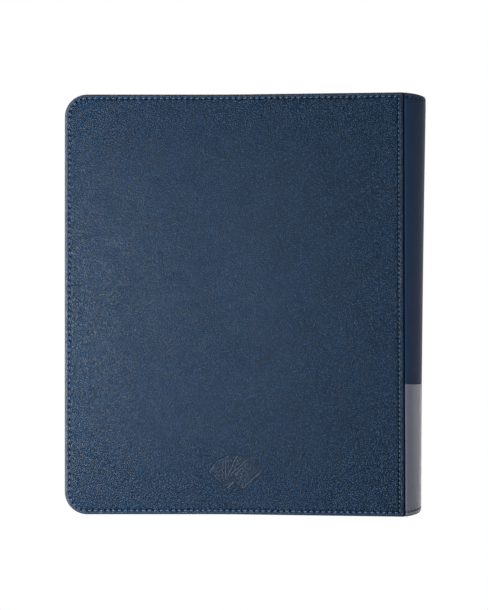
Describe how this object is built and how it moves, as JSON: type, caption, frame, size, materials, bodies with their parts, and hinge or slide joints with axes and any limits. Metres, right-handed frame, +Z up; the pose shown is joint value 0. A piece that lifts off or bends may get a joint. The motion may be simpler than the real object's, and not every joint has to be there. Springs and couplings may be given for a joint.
{
  "type": "trading card binder",
  "caption": "Padded imitation-leather card binder with a rounded spine, two hinged covers and sewn-in side-loading pocket leaves.",
  "frame": {"origin": "centre of the bounding box at the bottom edge, where the closed binder stands on its lower edges", "axes": "+Z up along the spine; +X towards the spine; the back cover faces -Y and the front cover +Y"},
  "size_m": [0.274, 0.048, 0.315],
  "materials": {
    "cover_leather": "navy pebbled imitation leather, semi-matt",
    "spine_leather": "navy smooth imitation leather, satin",
    "band_leather": "mid grey smooth imitation leather, satin",
    "blue_thread": "twisted polyester",
    "dark_thread": "twisted polyester",
    "foam": "thin soft foam",
    "greyboard": "uncoated board",
    "lining_cloth": "fine black weave",
    "binding_cloth": "black woven tape",
    "stiffener_plastic": "matt sheet",
    "leaf_plastic": "black sheet under clear welded film"
  },
  "bodies": {
    "spine": {"spine_wrap": "spine_leather", "spine_band": "band_leather", "spine_stiffener": "stiffener_plastic", "spine_lining": "lining_cloth", "spine_top_thread": "blue_thread", "spine_bottom_thread": "dark_thread", "back_crease_strip": "spine_leather", "front_crease_strip": "spine_leather", "page_flange_block": "leaf_plastic", "page_binding_tape": "binding_cloth", "back_binding_thread": "dark_thread", "front_binding_thread": "dark_thread"},
    "back_cover": {"back_cover_skin": "cover_leather", "back_cover_padding": "foam", "back_cover_board": "greyboard", "back_cover_lining": "lining_cloth", "back_cover_thread": "blue_thread"},
    "front_cover": {"front_cover_skin": "cover_leather", "front_cover_padding": "foam", "front_cover_board": "greyboard", "front_cover_lining": "lining_cloth", "front_cover_thread": "blue_thread"},
    "leaf_01": {"leaf_01": "leaf_plastic"},
    "leaf_02": {"leaf_02": "leaf_plastic"},
    "leaf_03": {"leaf_03": "leaf_plastic"},
    "leaf_04": {"leaf_04": "leaf_plastic"},
    "leaf_05": {"leaf_05": "leaf_plastic"},
    "leaf_06": {"leaf_06": "leaf_plastic"},
    "leaf_07": {"leaf_07": "leaf_plastic"},
    "leaf_08": {"leaf_08": "leaf_plastic"},
    "leaf_09": {"leaf_09": "leaf_plastic"},
    "leaf_10": {"leaf_10": "leaf_plastic"},
    "leaf_11": {"leaf_11": "leaf_plastic"},
    "leaf_12": {"leaf_12": "leaf_plastic"},
    "leaf_13": {"leaf_13": "leaf_plastic"},
    "leaf_14": {"leaf_14": "leaf_plastic"},
    "leaf_15": {"leaf_15": "leaf_plastic"},
    "leaf_16": {"leaf_16": "leaf_plastic"},
    "leaf_17": {"leaf_17": "leaf_plastic"},
    "leaf_18": {"leaf_18": "leaf_plastic"},
    "leaf_19": {"leaf_19": "leaf_plastic"},
    "leaf_20": {"leaf_20": "leaf_plastic"}
  },
  "joints": [
    {"name": "back_cover_hinge", "type": "hinge", "parent": "spine", "child": "back_cover", "pos_m": [0.1173, -0.02175, 0.1575], "axis": [0, 0, 1], "range_deg": [0, 90]},
    {"name": "front_cover_hinge", "type": "hinge", "parent": "spine", "child": "front_cover", "pos_m": [0.1173, 0.02175, 0.1575], "axis": [0, 0, -1], "range_deg": [0, 90]},
    {"name": "leaf_01_hinge", "type": "hinge", "parent": "spine", "child": "leaf_01", "pos_m": [0.1034, -0.01159, 0.1575], "axis": [0, 0, 1], "range_deg": [0, 90]},
    {"name": "leaf_02_hinge", "type": "hinge", "parent": "spine", "child": "leaf_02", "pos_m": [0.1026, -0.01037, 0.1575], "axis": [0, 0, 1], "range_deg": [0, 90]},
    {"name": "leaf_03_hinge", "type": "hinge", "parent": "spine", "child": "leaf_03", "pos_m": [0.1018, -0.00915, 0.1575], "axis": [0, 0, 1], "range_deg": [0, 90]},
    {"name": "leaf_04_hinge", "type": "hinge", "parent": "spine", "child": "leaf_04", "pos_m": [0.101, -0.00793, 0.1575], "axis": [0, 0, 1], "range_deg": [0, 90]},
    {"name": "leaf_05_hinge", "type": "hinge", "parent": "spine", "child": "leaf_05", "pos_m": [0.1002, -0.00671, 0.1575], "axis": [0, 0, 1], "range_deg": [0, 90]},
    {"name": "leaf_06_hinge", "type": "hinge", "parent": "spine", "child": "leaf_06", "pos_m": [0.0994, -0.00549, 0.1575], "axis": [0, 0, 1], "range_deg": [0, 90]},
    {"name": "leaf_07_hinge", "type": "hinge", "parent": "spine", "child": "leaf_07", "pos_m": [0.0986, -0.00427, 0.1575], "axis": [0, 0, 1], "range_deg": [0, 90]},
    {"name": "leaf_08_hinge", "type": "hinge", "parent": "spine", "child": "leaf_08", "pos_m": [0.0978, -0.00305, 0.1575], "axis": [0, 0, 1], "range_deg": [0, 90]},
    {"name": "leaf_09_hinge", "type": "hinge", "parent": "spine", "child": "leaf_09", "pos_m": [0.097, -0.00183, 0.1575], "axis": [0, 0, 1], "range_deg": [0, 90]},
    {"name": "leaf_10_hinge", "type": "hinge", "parent": "spine", "child": "leaf_10", "pos_m": [0.0962, -0.00061, 0.1575], "axis": [0, 0, 1], "range_deg": [0, 90]},
    {"name": "leaf_11_hinge", "type": "hinge", "parent": "spine", "child": "leaf_11", "pos_m": [0.0962, 0.00061, 0.1575], "axis": [0, 0, -1], "range_deg": [0, 90]},
    {"name": "leaf_12_hinge", "type": "hinge", "parent": "spine", "child": "leaf_12", "pos_m": [0.097, 0.00183, 0.1575], "axis": [0, 0, -1], "range_deg": [0, 90]},
    {"name": "leaf_13_hinge", "type": "hinge", "parent": "spine", "child": "leaf_13", "pos_m": [0.0978, 0.00305, 0.1575], "axis": [0, 0, -1], "range_deg": [0, 90]},
    {"name": "leaf_14_hinge", "type": "hinge", "parent": "spine", "child": "leaf_14", "pos_m": [0.0986, 0.00427, 0.1575], "axis": [0, 0, -1], "range_deg": [0, 90]},
    {"name": "leaf_15_hinge", "type": "hinge", "parent": "spine", "child": "leaf_15", "pos_m": [0.0994, 0.00549, 0.1575], "axis": [0, 0, -1], "range_deg": [0, 90]},
    {"name": "leaf_16_hinge", "type": "hinge", "parent": "spine", "child": "leaf_16", "pos_m": [0.1002, 0.00671, 0.1575], "axis": [0, 0, -1], "range_deg": [0, 90]},
    {"name": "leaf_17_hinge", "type": "hinge", "parent": "spine", "child": "leaf_17", "pos_m": [0.101, 0.00793, 0.1575], "axis": [0, 0, -1], "range_deg": [0, 90]},
    {"name": "leaf_18_hinge", "type": "hinge", "parent": "spine", "child": "leaf_18", "pos_m": [0.1018, 0.00915, 0.1575], "axis": [0, 0, -1], "range_deg": [0, 90]},
    {"name": "leaf_19_hinge", "type": "hinge", "parent": "spine", "child": "leaf_19", "pos_m": [0.1026, 0.01037, 0.1575], "axis": [0, 0, -1], "range_deg": [0, 90]},
    {"name": "leaf_20_hinge", "type": "hinge", "parent": "spine", "child": "leaf_20", "pos_m": [0.1034, 0.01159, 0.1575], "axis": [0, 0, -1], "range_deg": [0, 90]}
  ],
  "couplings": [
    {"joint": "leaf_01_hinge", "follows": "back_cover_hinge", "ratio": 1},
    {"joint": "leaf_02_hinge", "follows": "back_cover_hinge", "ratio": 0.992},
    {"joint": "leaf_03_hinge", "follows": "back_cover_hinge", "ratio": 0.984},
    {"joint": "leaf_04_hinge", "follows": "back_cover_hinge", "ratio": 0.976},
    {"joint": "leaf_05_hinge", "follows": "back_cover_hinge", "ratio": 0.968},
    {"joint": "leaf_06_hinge", "follows": "back_cover_hinge", "ratio": 0.96},
    {"joint": "leaf_07_hinge", "follows": "back_cover_hinge", "ratio": 0.952},
    {"joint": "leaf_08_hinge", "follows": "back_cover_hinge", "ratio": 0.944},
    {"joint": "leaf_09_hinge", "follows": "back_cover_hinge", "ratio": 0.936},
    {"joint": "leaf_10_hinge", "follows": "back_cover_hinge", "ratio": 0.928},
    {"joint": "leaf_11_hinge", "follows": "front_cover_hinge", "ratio": 0.928},
    {"joint": "leaf_12_hinge", "follows": "front_cover_hinge", "ratio": 0.936},
    {"joint": "leaf_13_hinge", "follows": "front_cover_hinge", "ratio": 0.944},
    {"joint": "leaf_14_hinge", "follows": "front_cover_hinge", "ratio": 0.952},
    {"joint": "leaf_15_hinge", "follows": "front_cover_hinge", "ratio": 0.96},
    {"joint": "leaf_16_hinge", "follows": "front_cover_hinge", "ratio": 0.968},
    {"joint": "leaf_17_hinge", "follows": "front_cover_hinge", "ratio": 0.976},
    {"joint": "leaf_18_hinge", "follows": "front_cover_hinge", "ratio": 0.984},
    {"joint": "leaf_19_hinge", "follows": "front_cover_hinge", "ratio": 0.992},
    {"joint": "leaf_20_hinge", "follows": "front_cover_hinge", "ratio": 1}
  ]
}
